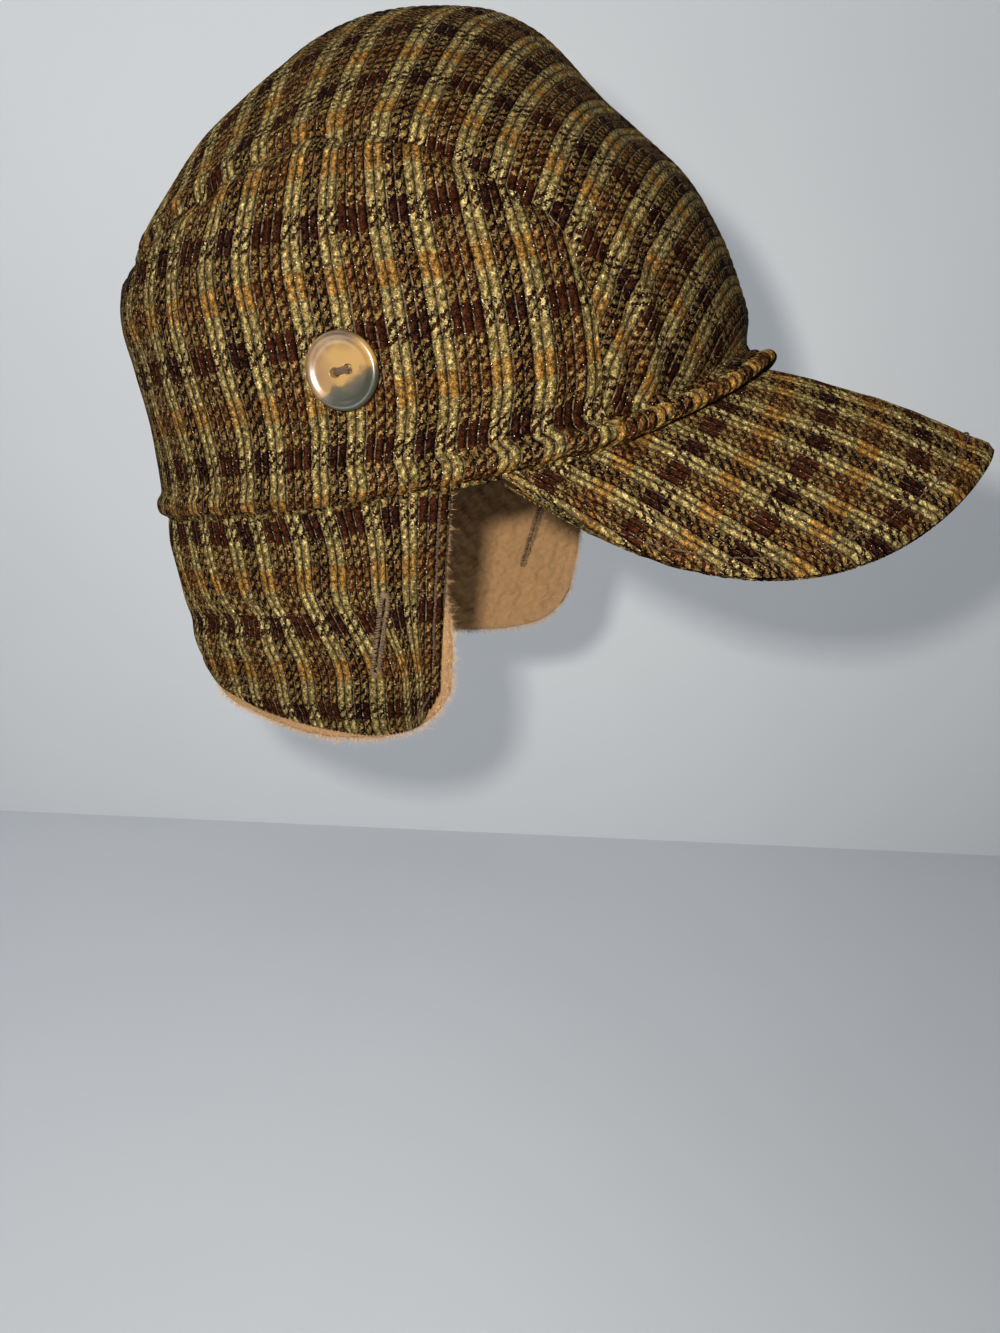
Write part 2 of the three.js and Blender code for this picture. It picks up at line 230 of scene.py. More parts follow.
def waves(points, wavelength, seed, count=5):
    """Soft random waves over space, from about -1 to 1."""
    rng = np.random.default_rng(seed)
    total = np.zeros(points.shape[:-1])
    for _ in range(count):
        way = rng.normal(size=3)
        way *= 2 * math.pi / (wavelength * rng.uniform(0.75, 1.35) * np.linalg.norm(way))
        total += np.sin(points @ way + rng.uniform(0, 2 * math.pi))
    return total / count ** 0.5 / 1.4


def bump(x, centre, width):
    return np.exp(-((x - centre) / width) ** 2)


def ease(t):
    """From 0 to 1 without a kink."""
    t = np.clip(t, 0, 1)
    return t * t * (3 - 2 * t)


def lengths_along(path):
    """How far each point of a path lies from its start."""
    return np.r_[0, np.cumsum(np.linalg.norm(np.diff(path, axis=0), axis=-1))]


def nearest(points, line):
    """How far each point lies from a line of points, and which of them is the nearest."""
    flat = points.reshape(-1, 3)
    distance, place = np.empty(len(flat)), np.empty(len(flat), int)
    batch = 20000
    for start in range(0, len(flat), batch):
        part = slice(start, start + batch)
        gap = np.linalg.norm(flat[part, None] - line[None], axis=-1)
        distance[part] = gap.min(1)
        place[part] = gap.argmin(1)
    return distance.reshape(points.shape[:-1]), place.reshape(points.shape[:-1])


# Meshes

def new_mesh(name, points, quads, material, uv=None):
    """One object from points in millimetres and faces of four corners."""
    points = np.asarray(points, float).reshape(-1, 3)
    mesh = bpy.data.meshes.new(name)
    quads = np.asarray(quads, np.int32)
    sides = quads.shape[1]
    mesh.vertices.add(len(points))
    mesh.vertices.foreach_set("co", (points * MM).astype(np.float32).ravel())
    mesh.loops.add(quads.size)
    mesh.loops.foreach_set("vertex_index", quads.ravel())
    mesh.polygons.add(len(quads))
    mesh.polygons.foreach_set("loop_start", np.arange(0, quads.size, sides, dtype=np.int32))
    mesh.polygons.foreach_set("use_smooth", np.ones(len(quads), bool))
    mesh.update(calc_edges=True)
    if uv is not None:
        layer = mesh.uv_layers.new(name="cloth")
        layer.data.foreach_set("uv", np.asarray(uv, np.float32).reshape(-1, 2)[quads.ravel()].ravel())
    mesh.validate()
    mesh.materials.append(material)
    obj = bpy.data.objects.new(name, mesh)
    bpy.context.scene.collection.objects.link(obj)
    return obj


def grid_quads(rows, columns, ring=False, flip=False):
    across = columns if ring else columns - 1
    j, i = np.meshgrid(np.arange(rows - 1), np.arange(across), indexing="ij")
    right = (i + 1) % columns
    low, high = j * columns, (j + 1) * columns
    quads = np.stack([low + i, low + right, high + right, high + i], -1).reshape(-1, 4)
    return quads[:, ::-1] if flip else quads


def ribs(u, rounding=0.62):
    """Height of the cloth's ribs, from 0 in a furrow to 1 on a crest."""
    return np.abs(np.sin(math.pi * u)) ** rounding


def cloth_uv(u, v, points, normal, phase, stretch=1.0):
    """The cloth's own coordinates at each point. The face shows the same way round on every piece."""
    def along(values):
        """The way on the surface in which the values grow."""
        return sum(np.gradient(points, axis=k) * np.gradient(values, axis=k)[..., None] for k in (0, 1))

    turned = np.median((np.cross(along(u), along(v)) * normal).sum(-1)) > 0
    v = -v if turned else v
    return np.stack([u + phase[0] + 10 * check_ribs, v * stretch + phase[1] + 10 * check_length], -1)


def column_lengths(points):
    """How far each point lies along its own column from the first row."""
    steps = np.linalg.norm(np.diff(points, axis=0), axis=-1)
    return np.vstack([np.zeros(points.shape[1]), np.cumsum(steps, axis=0)])


def rib_relief(points, normal, u, seed):
    """Raise ribs on a smooth sheet: crests stand out, furrows sink, and both vary along the cloth."""
    vary = 1 + 0.18 * waves(points, 9, seed)
    return points + normal * (rib_depth * vary * (ribs(u) - 0.6))[..., None]


# The seam's course in space, and how far a point lies from it
seam_share = np.linspace(seam_start, 1, 260)
seam_turn = smooth(seam_points[:, 0], seam_points[:, 1], seam_share)
seam_along = smooth(seam_points[:, 0], seam_points[:, 2], seam_share)
seam_line = worn_crown(seam_turn, seam_along)


def near_seam(points):
    """Distance to the seam, and the length along it, for points of either side."""
    distance, place = nearest(np.concatenate([-np.abs(points[..., :1]), points[..., 1:]], -1), seam_line)
    return distance, lengths_along(seam_line)[place]


def slouch(points):
    return slouch_fall * np.exp(-(((points - slouch_middle) / slouch_reach) ** 2).sum(-1))


def slack(points, share):
    """The soft crown's low waves, held back at the rim, where share is 0."""
    return (rim_slack + (1 - rim_slack) * share) * (0.9 * waves(points, 70, 11) + 0.5 * waves(points, 28, 12))


def folds(distance, table):
    return sum(height * bump(distance, middle, width) for height, middle, width in table)


def soften(points, normal, share):
    """A soft crown's slack and fall, the seam's sunk line, and the puckers and creases beside it."""
    distance, place = near_seam(points)
    pucker = pucker_height * np.exp(-distance / pucker_reach)
    pucker = pucker * np.sin(place / pucker_pitch + 1.5 * np.sin(place / 17))
    front = np.clip((crease_end - place) / crease_fade, 0, 1) * np.clip(place / 8, 0, 1)
    lift = folds(distance, seam_folds) + front * folds(distance, seam_creases) + pucker
    lift = lift + slack(points, share) - slouch(points)
    return points + normal * lift[..., None]


# Materials

class Output:
    """A node's output. Arithmetic on it adds the nodes that work it out."""

    def __init__(self, graph, socket):
        self.graph, self.socket = graph, socket

    def __add__(self, other):
        return self.graph.math("ADD", self, other)

    def __sub__(self, other):
        return self.graph.math("SUBTRACT", self, other)

    def __rsub__(self, other):
        return self.graph.math("SUBTRACT", other, self)

    def __mul__(self, other):
        return self.graph.math("MULTIPLY", self, other)

    def __truediv__(self, other):
        return self.graph.math("DIVIDE", self, other)

    def __mod__(self, other):
        return self.graph.math("MODULO", self, other)


class Graph:
    """A material's node tree, with short ways to add and join nodes."""

    def __init__(self, name):
        self.material = bpy.data.materials.new(name)
        self.material.use_nodes = True
        self.tree = self.material.node_tree
        self.shader = self.tree.nodes["Principled BSDF"]
        self.space = self.node("TexCoord", "Object")

    def put(self, socket, value):
        if isinstance(value, Output):
            self.tree.links.new(value.socket, socket)
        else:
            socket.default_value = value

    def node(self, kind, output, settings=None, **inputs):
        """Add a node and return one of its outputs."""
        node = self.tree.nodes.new("ShaderNode" + kind)
        for key, value in (settings or {}).items():
            setattr(node, key, value)
        for key, value in inputs.items():
            self.put(node.inputs[key.replace("_", " ")], value)
        return Output(self, node.outputs[output])

    def cloth(self):
        """The two coordinates that each piece carries, which are across and along the ribs on cloth."""
        uv = self.node("UVMap", "UV", {"uv_map": "cloth"})
        return self.node("SeparateXYZ", "X", Vector=uv), self.node("SeparateXYZ", "Y", Vector=uv)

    def math(self, operation, *values):
        node = self.tree.nodes.new("ShaderNodeMath")
        node.operation = operation
        for socket, value in zip(node.inputs, values):
            self.put(socket, value)
        return Output(self, node.outputs[0])

    def over(self, value, limit):
        """1 where the value is over the limit and 0 elsewhere."""
        return self.math("GREATER_THAN", value, limit)

    def mix(self, factor, a, b):
        node = self.tree.nodes.new("ShaderNodeMix")
        node.data_type = "RGBA"
        for name, value in (("Factor_Float", factor), ("A_Color", a), ("B_Color", b)):
            self.put(next(s for s in node.inputs if s.identifier == name), value)
        return Output(self, next(s for s in node.outputs if s.identifier == "Result_Color"))

    def ramp(self, factor, stops, interpolation="LINEAR"):
        node = self.tree.nodes.new("ShaderNodeValToRGB")
        node.color_ramp.interpolation = interpolation
        elements = node.color_ramp.elements
        while len(elements) > 1:
            elements.remove(elements[-1])
        elements[0].position, elements[0].color = stops[0]
        for position, color in stops[1:]:
            elements.new(position).color = color
        self.put(node.inputs[0], factor)
        return Output(self, node.outputs[0])

    def noise(self, scale, detail):
        return self.node("TexNoise", "Fac", Vector=self.space, Scale=scale, Detail=detail)

    def wave(self, scale, distortion):
        return self.node("TexWave", "Fac", {"bands_direction": "DIAGONAL"}, Vector=self.space, Scale=scale,
                         Distortion=distortion)

    def finish(self, color, relief=None, **inputs):
        """Join colour and relief (height, millimetres, strength), set the shader's other inputs."""
        inputs["Base_Color"] = color
        if relief:
            height, depth, strength = relief
            inputs["Normal"] = self.node("Bump", "Normal", Height=height, Distance=depth * MM,
                                         Strength=strength)
        for key, value in inputs.items():
            self.put(self.shader.inputs[key.replace("_", " ")], value)
        return self.material


def tone(*values):
    """A colour given as the photograph's 0 to 255 values, turned into linear light."""
    shares = [value / 255 for value in values]
    return tuple(s / 12.92 if s <= 0.04 else ((s + 0.055) / 1.055) ** 2.4 for s in shares) + (1.0,)


def grey(value):
    return (value, value, value, 1.0)


black = tone(9, 3, 3)
black_brown = tone(24, 9, 4)
maroon = tone(25, 8, 3)
weft_olive = tone(64, 51, 26)
tan = tone(84, 75, 46)
mustard = tone(78, 54, 21)
weft_gold = tone(56, 38, 16)
base_weave = tone(93, 76, 56)
pale = tone(132, 119, 90)
glint = tone(174, 164, 144)


def corduroy_material():
    g = Graph("plaid_corduroy")
    u, v = g.cloth()
    rib, fraction = g.math("FLOOR", u), g.math("FRACT", u)
    # Each rib's colours start a little early or late, and their ends are ragged
    rib_random = g.node("TexWhiteNoise", "Value", {"noise_dimensions": "1D"}, W=rib)
    along = v + (g.noise(900.0, 3.0) * 2.4 - 1.2) + (rib_random * 1.2 - 0.6)
    across_share = (rib % check_ribs + 0.5) / check_ribs
    along_share = along % check_length / check_length
    first, dark, second = (count / check_ribs for count in (2, 4, 7))

    def bands(factor, *stops):
        return g.ramp(factor, stops, "CONSTANT")

    warp = bands(across_share, (0.0, black), (first, tan), (dark, maroon), (second, tan))
    weft = bands(along_share, (0.0, black_brown), (0.23, weft_olive), (0.5, weft_gold), (0.73, weft_olive))
    # Where the two cross they take turns in slanting dashes
    slant = v / twill_pitch + u * (rib_pitch / twill_pitch) + (g.noise(1300.0, 2.0) * 1.5 - 0.75)
    slant = rib_random * 0.3 + slant
    dash = g.over(g.math("FRACT", slant), 0.5)
    light_rib = bands(across_share, (0.0, grey(0)), (first, grey(1)), (dark, grey(0)), (second, grey(1)))
    gold_row = bands(along_share, (0.0, grey(0)), (0.5, grey(1)), (0.73, grey(0)))
    woven = g.mix(light_rib * gold_row * (rib_random * 0.3 + 0.65), g.mix(dash, weft, warp), mustard)
    # Uneven dye, from thread to thread and over the whole cloth
    fibre = g.noise(2100.0, 3.0)
    bright = g.math("MAXIMUM", fibre * 3.4 - 0.75, 0.15) * (g.noise(330.0, 3.0) * 1.2 + 0.4)
    bright = bright * g.math("MAXIMUM", g.noise(900.0, 2.0) * 4.4 - 1.15, 0.3)
    # Painted shade on each rib: one flank is painted pale as if lit and the other dark, and the furrows are
    # painted darkest
    lean = g.ramp(fraction, [(0.0, grey(0.2)), (0.16, grey(0.12)), (0.4, grey(0.6)), (0.66, grey(1)),
                             (0.84, grey(0.75)), (1.0, grey(0.2))])
    # The pile's colour: the woven colour times the uneven dye and the painted rib shade
    pile = g.node("HueSaturation", "Color", Color=woven, Value=bright * (lean * 2.1 - 0.08))
    # The plain weave shows as a thin pale line in each furrow, broken where pile covers it
    depth = 0.5 - g.math("ABSOLUTE", fraction - 0.5)
    line = g.math("MINIMUM", g.math("MAXIMUM", (0.09 - depth) / 0.04, 0.0), 1.0)
    covered = g.ramp(g.noise(800.0, 3.0), [(0.42, grey(0)), (0.62, grey(0.8))])
    color = g.mix(line * covered, pile, base_weave)
    color = g.mix(g.over(g.noise(3000.0, 1.0), 0.7) * 0.12, color, pale)
    # Painted glints: sparse pale specks where fibres would catch the light, a few more on the furrow lines
    color = g.mix(g.over(g.noise(2500.0, 0.0), line * -0.08 + 0.84), color, glint)
    tuft = g.math("SINE", slant * (4 * math.pi))
    crest = g.math("SINE", fraction * math.pi)
    height = tuft * 0.22 + fibre * 1.2 + crest * 0.4
    return g.finish(color, (height, 0.5, 1.0), Roughness=0.8, Specular_IOR_Level=0.01)


def plain_cloth_material():
    g = Graph("crown_inside_cloth")
    weave = g.wave(330.0, 1.5)
    color = g.mix(g.noise(60.0, 3.0), tone(66, 52, 36), tone(92, 74, 50))
    color = g.mix(weave * 0.35, color, tone(40, 30, 22))
    return g.finish(color, (weave, 0.12, 0.7), Roughness=0.95, Sheen_Weight=0.1)


def fleece_material():
    g = Graph("tan_fleece")
    clump, fibre = g.noise(420.0, 6.0), g.noise(2600.0, 4.0)
    color = g.mix(clump, tone(92, 64, 38), tone(138, 106, 72))
    color = g.mix(fibre * 0.4, color, tone(156, 128, 92))
    return g.finish(color, (clump + fibre * 0.5, 0.9, 1.0), Roughness=1.0, Sheen_Weight=0.15,
                    Sheen_Roughness=0.35, Sheen_Tint=tone(200, 170, 130), Specular_IOR_Level=0.1)


def fibre_material(name, dark, light):
    g = Graph(name)
    color = g.mix(g.noise(900.0, 2.0), dark, light)
    return g.finish(color, Roughness=0.8, Sheen_Weight=0.3, Specular_IOR_Level=0.2)


def thread_material(name, dark, light):
    g = Graph(name)
    color = g.mix(g.noise(500.0, 2.0), dark, light)
    return g.finish(color, (g.wave(1500.0, 2.0), 0.08, 0.8), Roughness=0.6, Specular_IOR_Level=0.25)


def horn_material(name, side):
    """Horn clouded by noise: tan at the back edge, gold in the middle, dark grey-green along the lower front.
    The gold in the middle is partly a painted highlight.
    """
    g = Graph(name)
    x, y = g.cloth()
    across = x * side
    cloud = g.noise(150.0, 4.0) * 1.1 - 0.55
    streak = g.noise(420.0, 5.0) * 0.16 - 0.08
    dark = g.ramp(across * 0.18 + cloud - y + streak, [(0.22, grey(0)), (0.36, grey(0.8)), (0.6, grey(1))])
    # Gold, partly a painted highlight, turning tan towards the back edge
    color = g.mix(across * -0.85 + cloud, tone(106, 82, 43), tone(62, 43, 33))
    color = g.mix(dark, color, tone(32, 33, 26))
    color = g.mix(g.math("MAXIMUM", y + cloud - 0.4, 0.0) * 1.9, color, tone(52, 37, 21))
    return g.finish(color, (g.noise(300.0, 2.0), 0.05, 0.3), Roughness=0.32, Coat_Weight=0.22,
                    Coat_Roughness=0.06, Specular_IOR_Level=0.55, Subsurface_Weight=0.05,
                    Subsurface_Radius=(0.002, 0.0012, 0.0006))


def flat_material(name, color):
    g = Graph(name)
    shade = g.node("HueSaturation", "Color", Color=color, Value=g.noise(6.0, 4.0) * 0.06 + 0.97)
    return g.finish(shade, (g.noise(240.0, 4.0), 0.25, 0.25), Roughness=0.9)


corduroy = corduroy_material()
inside_cloth = plain_cloth_material()
fleece = fleece_material()
fleece_fibre = fibre_material("fleece_fibre", tone(118, 84, 50), tone(180, 146, 100))
brown_thread = thread_material("brown_thread", tone(24, 15, 10), tone(72, 53, 38))
mauve_thread = thread_material("mauve_thread", tone(24, 16, 11), tone(104, 84, 64))


# Crown: side band

def band_cloth():
    """Ribs rise from the rim, lean forwards, and end at the seam."""
    course = np.linspace(seam_foot, 180, 500)
    lengths = lengths_along(worn_crown(course, 0.2))
    count = int(lengths[-1] / rib_pitch * rib_steps)
    across = np.linspace(0.3, lengths[-1], count)
    foot = np.interp(across, lengths, course)
    lean = band_lean * ease((lean_from - foot) / lean_span)
    share = seam_points[:, 0]
    upper = seam_points[share >= seam_corner]
    lower = seam_points[(share >= seam_start) & (share <= seam_corner)]
    # Each rib line is followed upwards until it has no room left under the seam
    fine = np.linspace(0, 0.62, 500)[:, None]
    fine_turn = foot - lean * fine
    room = np.minimum((fine_turn - smooth(lower[:, 2], lower[:, 1], fine)) / 120,
                      smooth(upper[:, 1], upper[:, 2], fine_turn) - fine)
    out = np.maximum((room < 0).argmax(0), 1)
    i = np.arange(count)
    step = room[out - 1, i] / (room[out - 1, i] - room[out, i])
    end = (out - 1 + np.clip(step, 0, 1)) * fine[1, 0]
    rows = 66
    along = np.linspace(0, 1, rows)[:, None] * np.maximum(end, 1e-4)
    turn = foot - lean * along
    u = (lengths[-1] - across) / rib_pitch * np.ones((rows, 1))
    turn = np.hstack([turn, 360 - turn[:, -2::-1]])
    along = np.hstack([along, along[:, -2::-1]])
    u = np.hstack([-u, u[:, -2::-1]])
    base = worn_crown(turn, along)
    normal = crown_normal(turn, along)
    points = soften(base, normal, ease(along / rim_calm))
    fine = rib_relief(points, normal, u, seed=21)
    uv = cloth_uv(u, column_lengths(base), base, normal, band_phase)
    return new_mesh("band_cloth", fine, grid_quads(*fine.shape[:2], flip=True), corduroy, uv)


# Crown: top panel, whose ribs run across it from seam to seam

def crown_hit(start, direction):
    """Where rays from a point inside meet the crown's outer face, as turn and along, by Newton's method.
    At the apex turn means nothing, so the steps are taken in a, b = (1 - along) * (cos turn, sin turn)."""
    direction = unit(direction)
    widest = np.array([rim_half_width, rim_half_length, crown_height])
    s, d = start / widest, direction / widest
    dd, sd, ss = (d * d).sum(-1), (s * d).sum(-1), (s * s).sum(-1)
    reach = (-sd + np.sqrt(np.maximum(sd * sd - dd * (ss - 1), 0))) / dd
    p = start + direction * reach[..., None]
    c, q = math.cos(wear_tilt), math.sin(wear_tilt)
    p = np.stack([p[..., 0], c * p[..., 1] - q * p[..., 2], c * p[..., 2] + q * p[..., 1]], -1)
    along = np.interp(p[..., 2] / crown_height, crown_sections[:, 1], crown_sections[:, 0])
    angle = np.arctan2(-p[..., 0] / rim_half_width, -p[..., 1] / rim_half_length)
    a, b = (1 - along) * np.cos(angle), (1 - along) * np.sin(angle)

    def place(a, b):
        return np.degrees(np.arctan2(b, a)), np.clip(1 - np.hypot(a, b), 0, 0.999)

    def miss(a, b):
        return np.cross(unit(worn_crown(*place(a, b)) - start), direction)

    h = 0.002
    for _ in range(14):
        m = miss(a, b)
        ma, mb = (miss(a + h, b) - m) / h, (miss(a, b + h) - m) / h
        aa, bb, ab = (ma * ma).sum(-1), (mb * mb).sum(-1), (ma * mb).sum(-1)
        am, bm = (ma * m).sum(-1), (mb * m).sum(-1)
        det = aa * bb - ab * ab + 1e-12
        a = a - np.clip((bb * am - ab * bm) / det, -0.08, 0.08)
        b = b - np.clip((aa * bm - ab * am) / det, -0.08, 0.08)
    return place(a, b)


def fan_angles(points):
    """Angles about the fan's line (from the front, upwards) and away from the middle plane."""
    ahead, above = fan_back - points[..., 1], points[..., 2] - fan_depth
    return np.arctan2(above, ahead), np.arctan2(-points[..., 0], np.hypot(ahead, above))


def top_cloth():
    """Ribs cross the crown from side to side in planes that fan out from a line below it."""
    rim_turn = np.linspace(0, seam_foot, 60)
    border = np.vstack([worn_crown(rim_turn, 0 * rim_turn), seam_line[1:]])
    border_pitch, border_side = fan_angles(border)
    border_pitch = np.maximum.accumulate(border_pitch + np.arange(len(border)) * 1e-7)
    start = np.array([0, fan_back, fan_depth])

    def surface(pitch, q):
        side = np.interp(pitch, border_pitch, border_side)[:, None] * q[None]
        pitch = pitch[:, None]
        way = np.stack([-np.sin(side), -np.cos(side) * np.cos(pitch), np.cos(side) * np.sin(pitch)], -1)
        return crown_hit(start, way)

    pitch_fine = np.linspace(border_pitch[0], border_pitch[-1], 500)
    lengths = lengths_along(worn_crown(*surface(pitch_fine, np.zeros(1)))[:, 0])
    count = int(lengths[-1] / top_pitch * rib_steps)
    columns = 150
    across = np.linspace(0.3, lengths[-1] - 0.3, count)
    turn, along = surface(np.interp(across, lengths, pitch_fine), np.linspace(-1, 1, columns))
    base = worn_crown(turn, along)
    normal = crown_normal(turn, along)
    points = soften(base, normal, np.clip(along / rim_calm, 0, 1))
    u = (across / top_pitch)[:, None] * np.ones((1, columns))
    fine = rib_relief(points, normal, u, seed=22)
    v = column_lengths(base.swapaxes(0, 1)).T
    v = v - v[:, [columns // 2]] - top_skew * across[:, None]
    uv = cloth_uv(u, v, base, normal, top_phase, top_stretch)
    return new_mesh("top_cloth", fine, grid_quads(count, columns, flip=True), corduroy, uv)


def crown_inside():
    """The plain back of the cloth, from the rim's edge up, one wall inside the outer face."""
    columns = 160
    turn = np.linspace(0, 360, columns, endpoint=False)[None]
    along = np.array([0, 0.004, 0.012, 0.025, 0.05, 0.08, 0.11, 0.16, 0.22, 0.3, 0.38, 0.46, 0.54, 0.62, 0.7,
                      0.78, 0.86, 0.93, 0.97, 0.99])[:, None]
    turn, along = np.broadcast_arrays(turn, along)
    base = worn_crown(turn, along)
    # Deep enough to stay behind the seam's sunk line
    depth = crown_wall * np.clip(along / 0.02, 0, 1) ** 0.5 + 1.4 * np.clip(along / 0.06, 0, 1) + slouch(base)
    lift = slack(base, np.clip(along / rim_calm, 0, 1)) - depth
    points = base + crown_normal(turn, along) * lift[..., None]
    return new_mesh("crown_inside", points, grid_quads(len(along), columns, ring=True), inside_cloth)


# Peak

def peak_surface(share, v):
    """The peak's upper face: share runs from ear to ear along its edge, v from the edge to the crown."""
    root = crown_point(share * peak_span, 0 * share)
    inward = unit(root * np.array([-1, -1, 0]))
    root = root + inward * crown_wall / 2 - np.array([0, 0, seam_gap])
    angle = share * peak_sweep
    x = -peak_width / 2 * np.sin(angle)
    y = -peak_centre - peak_length * np.cos(angle)
    outness = (2 * x / peak_width) ** 2
    ahead = -y - rim_half_length * crown_sections[0, section["front"]]
    z = peak_rise - peak_slope * ahead - peak_arch * outness + peak_arch_ease * outness ** 2
    points = np.stack([x, y, z], -1) * (1 - v)[..., None] + root * v[..., None]
    points[..., 2] += 4 * peak_bulge * v * (1 - v) * np.cos(share * math.pi / 2)
    return tilted(points)


def peak_grid():
    """Points of the peak's upper face on its rib lines, from the edge to the crown, and the ribs' count."""
    shares = np.linspace(-1, 1, 3001)
    edge, root = peak_surface(shares, 0 * shares), peak_surface(shares, 0 * shares + 1)
    c, s = math.cos(peak_twist), math.sin(peak_twist)
    edge_x, root_x = (c * curve[:, 0] - s * (curve[:, 1] + peak_centre) for curve in (edge, root))
    low, high = edge_x.min() + 0.15, edge_x.max() - 0.15
    reach = peak_width / 2
    x_line = np.linspace(low, high, 800)
    outness = np.abs(x_line) / reach
    fall = 0.75 * (peak_arch * outness ** 2 - peak_arch_ease * outness ** 4)
    lengths = np.r_[0, np.cumsum(np.hypot(np.diff(x_line), np.diff(fall)))]
    middle = np.interp(0, x_line, lengths)
    count = int(lengths[-1] / peak_rib_pitch * rib_steps)
    across = np.linspace(0, lengths[-1], count)
    rows = 60
    t = np.linspace(0, 1, rows)
    share, v = np.empty((rows, count)), np.empty((rows, count))
    for k, x in enumerate(np.interp(across, lengths, x_line)):
        f, g = edge_x - x, root_x - x
        inside = np.nonzero(f * g < 0)[0]
        first, last = max(inside[0] - 1, 0), min(inside[-1] + 1, len(shares) - 1)
        ends = []
        for out, near in ((first, inside[0]), (last, inside[-1])):
            cross = [h[out] / (h[out] - h[near]) for h in (f, g) if h[out] * h[near] < 0]
            ends.append(shares[out] + (shares[near] - shares[out]) * (cross[0] if cross else 0.5))
        f_ends = [abs(np.interp(e, shares, f)) for e in ends]
        g_ends = [abs(np.interp(e, shares, g)) for e in ends]
        if f_ends[0] > g_ends[0] or (f_ends[1] < g_ends[1] and edge[inside[0], 1] > edge[inside[-1], 1]):
            ends = ends[::-1]
        share[:, k] = ends[0] + (ends[1] - ends[0]) * t
        f_line, g_line = np.interp(share[:, k], shares, f), np.interp(share[:, k], shares, g)
        v[:, k] = np.clip(f_line / np.where(np.abs(f_line - g_line) < 1e-9, 1e-9, f_line - g_line), 0, 1)
    points = peak_surface(share, v)
    u = ((across - middle) / peak_rib_pitch)[None] * np.ones((rows, 1))
    return points, u


def rounded(distance, radius):
    """How far a turned edge has curled away from the face at a distance from it, as a share of the radius."""
    t = np.clip(1 - distance / radius, 0, 1)
    return 1 - np.sqrt(np.maximum(1 - t * t, 0))


def peak_covers():
    """The upper and the under cloth, which curl towards each other at the edge."""
    points, u = peak_grid()
    share = np.linspace(-1, 1, 300)
    distance, _ = nearest(points, peak_surface(share, 0 * share))
    up = grid_normal(points)
    if np.median(up[..., 2]) < 0:
        up = -up
    v = column_lengths(points)
    v = v[-1:] - v + peak_skew * u * peak_rib_pitch - peak_bend * np.maximum(-u - peak_bend_from, 0) ** 2
    stitch_dip = -0.35 * bump(distance, peak_stitch_inset, 0.9)
    loose = 0.35 * waves(points, 22, 31) + 0.25 * waves(points, 11, 32)
    middle = (2 * peak_cover_wall + seam_gap) / 2
    edge_crest = rib_depth * (1 + 0.15 * waves(points, 9, 33)) * np.clip(distance / 1.2, 0.25, 1)
    made = []
    for name, side in (("peak_upper_cloth", 1), ("peak_under_cloth", -1)):
        lift = middle * (1 - rounded(distance, 2.6)) + (stitch_dip + loose if side > 0 else 0.5 * stitch_dip)
        lift = lift + edge_crest * (ribs(u) - 0.6)
        fine = points - up * middle + up * (side * lift)[..., None]
        uv = cloth_uv(u, v, points, up * side, peak_phase, peak_stretch)
        made.append(new_mesh(name, fine, grid_quads(*fine.shape[:2], flip=side < 0), corduroy, uv))
    return made


# Ear flap

def flap_point(turn, down):
    """The flap's outer face: down runs from the rim, and the flap leans in as it falls."""
    base = worn_crown(turn, 0 * turn)
    angle = np.radians(turn)
    out = unit(np.stack([-np.sin(angle) / rim_half_width, -np.cos(angle) / rim_half_length, 0 * angle], -1))
    fall = np.maximum(down, 0)
    moved = base - out * (flap_lean * (fall / lean_depth) ** lean_power)[..., None]
    moved[..., 2] -= down
    return moved


def flap_course():
    """Turns round the flap, and the length of its cloth up to each."""
    course = np.linspace(flap_front_turn, 360 - flap_front_turn, 400)
    return course, lengths_along(flap_point(course, 0 * course + 25))


def flap_grid(show, columns, rows):
    """Turn and depth over a flap that stands out past the cloth's edge by show, but not near the rim."""
    course, lengths = flap_course()
    u = np.interp(np.linspace(0, lengths[-1], columns), lengths, np.linspace(0, 1, len(course)))[None]
    t = np.linspace(0, 1, rows)[:, None]
    shown = show * (1.3 * ease((t - 0.4) / 0.4) - 0.3)
    start = flap_front_turn + flap_rake * t - np.degrees(shown / rim_half_width)
    turn = start + (360 - 2 * start) * u
    inner = flap_front_turn + (from_front(turn) - start) * (180 - flap_front_turn) / (180 - start)
    depth = smooth(flap_depths[:, 0], flap_depths[:, 1], inner) * flap_depth + show
    return turn, seam_gap + (depth - seam_gap) * t


def flap_soft(points, normal, turn, down):
    """Dents and low folds that the flap's soft cloth keeps."""
    side = from_front(turn)
    fold = 0.55 * waves(points, 34, 41) + 0.3 * waves(points, 15, 42)
    for height, low, drift, width, middle, reach in flap_folds:
        fold = fold + height * bump(down, low + drift * (side - 100), width) * bump(side, middle, reach)
    return points + normal * (fold * np.clip(down / 8, 0, 1))[..., None]


def flap_out(turn, down):
    step_turn = flap_point(turn + 0.3, down) - flap_point(turn - 0.3, down)
    step_down = flap_point(turn, down + 0.3) - flap_point(turn, np.maximum(down - 0.3, 0))
    return unit(np.cross(step_turn, step_down))


def buttonhole_frames():
    """For each buttonhole its middle, and its ways along the slot, across it and out of the cloth."""
    frames = []
    for side in (1, -1):
        turn, down = np.array([side * buttonhole_turn]), np.array([buttonhole_down])
        place = flap_point(turn, down)[0]
        out = flap_out(turn, down)[0]
        fall = unit(flap_point(turn, down + 1)[0] - place)
        lean = -side * buttonhole_slant
        along = math.cos(lean) * fall + math.sin(lean) * unit(np.cross(out, fall))
        frames.append((place, along, unit(np.cross(out, along)), out))
    return frames


